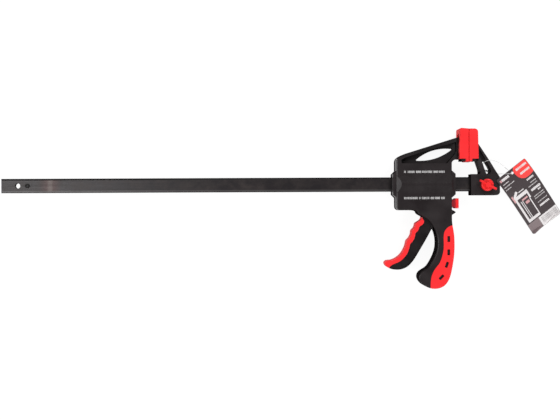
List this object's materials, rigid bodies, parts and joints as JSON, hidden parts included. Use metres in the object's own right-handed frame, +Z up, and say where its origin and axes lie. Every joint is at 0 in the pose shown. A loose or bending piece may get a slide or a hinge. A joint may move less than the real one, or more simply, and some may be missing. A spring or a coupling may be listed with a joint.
{
  "type": "quick release bar clamp",
  "caption": "One-hand bar clamp: pistol body with trigger and release button sliding on a flat steel bar, fixed jaw with a wing screw, soft jaw pads, and a card tag on a thin loop.",
  "frame": {"origin": "bottom centre of the clamp without its tag and loop, on the surface that it lies on, jaws closed", "axes": "+X along the bar towards the fixed jaw; +Y towards the jaw tips; +Z up, from the back shell to the front shell and the wing knob"},
  "size_m": [0.7496, 0.2124, 0.0322],
  "materials": {
    "black_nylon": "moulded black nylon, satin",
    "red_rubber": "soft red overmould, matte",
    "red_plastic": "moulded red plastic, slightly glossy",
    "dark_bar_steel": "dark oxide-coated steel, satin",
    "plain_steel": "bare pressed steel",
    "spring_steel": "spring wire",
    "zinc_steel": "zinc-plated steel",
    "card": "laminated printed card",
    "clear_nylon": "clear nylon line"
  },
  "bodies": {
    "pistol_body": {"shell_front": "black_nylon", "shell_back": "black_nylon", "shell_screws": "zinc_steel", "grip_inlay_front": "red_rubber", "grip_inlay_back": "red_rubber", "moving_jaw_pad": "red_rubber", "trigger_pin": "plain_steel", "drive_spring": "spring_steel", "brake_spring": "spring_steel"},
    "trigger": {"trigger_lever": "black_nylon", "trigger_face": "red_rubber"},
    "drive": {"drive_plate_left": "plain_steel", "drive_plate_right": "plain_steel"},
    "brake": {"brake_plate": "plain_steel"},
    "button": {"release_button": "red_plastic"},
    "bar": {"bar": "dark_bar_steel", "stop_pin": "plain_steel", "fixed_jaw": "black_nylon", "fixed_jaw_pad": "red_rubber", "jaw_nut": "zinc_steel", "tag_card": "card", "tag_loop": "clear_nylon", "loop_lock": "clear_nylon"},
    "wing_screw": {"wing_knob": "red_plastic", "wing_stud": "zinc_steel"}
  },
  "joints": [
    {"name": "bar_slide", "type": "slide", "parent": "pistol_body", "child": "bar", "axis": [1, 0, 0], "range_m": [0, 0.4821]},
    {"name": "trigger_hinge", "type": "hinge", "parent": "pistol_body", "child": "trigger", "pos_m": [0.24265, 0.0019, 0.015], "axis": [0, 0, 1], "range_deg": [0, 12], "stiffness_Nm_per_rad": 1.5, "springref_deg": -5.73},
    {"name": "drive_slide", "type": "slide", "parent": "pistol_body", "child": "drive", "axis": [-1, 0, 0], "range_m": [0, 0.0033], "deforming": ["drive_spring"]},
    {"name": "button_slide", "type": "slide", "parent": "pistol_body", "child": "button", "axis": [-1, 0, 0], "range_m": [0, 0.0035], "stiffness_N_per_m": 600, "springref_m": -0.002},
    {"name": "brake_hinge", "type": "hinge", "parent": "pistol_body", "child": "brake", "pos_m": [0.25535, 0.0474, 0.015], "axis": [0, 0, 1], "range_deg": [-4.47, 0], "deforming": ["brake_spring"]},
    {"name": "wing_screw_turn", "type": "hinge", "parent": "bar", "child": "wing_screw", "pos_m": [0.31345, 0.0307, 0.015], "axis": [0, 0, 1], "continuous": true}
  ],
  "couplings": [
    {"joint": "drive_slide", "follows": "trigger_hinge", "m_per_rad": 0.0157},
    {"joint": "brake_hinge", "follows": "button_slide", "rad_per_m": -22.245}
  ]
}
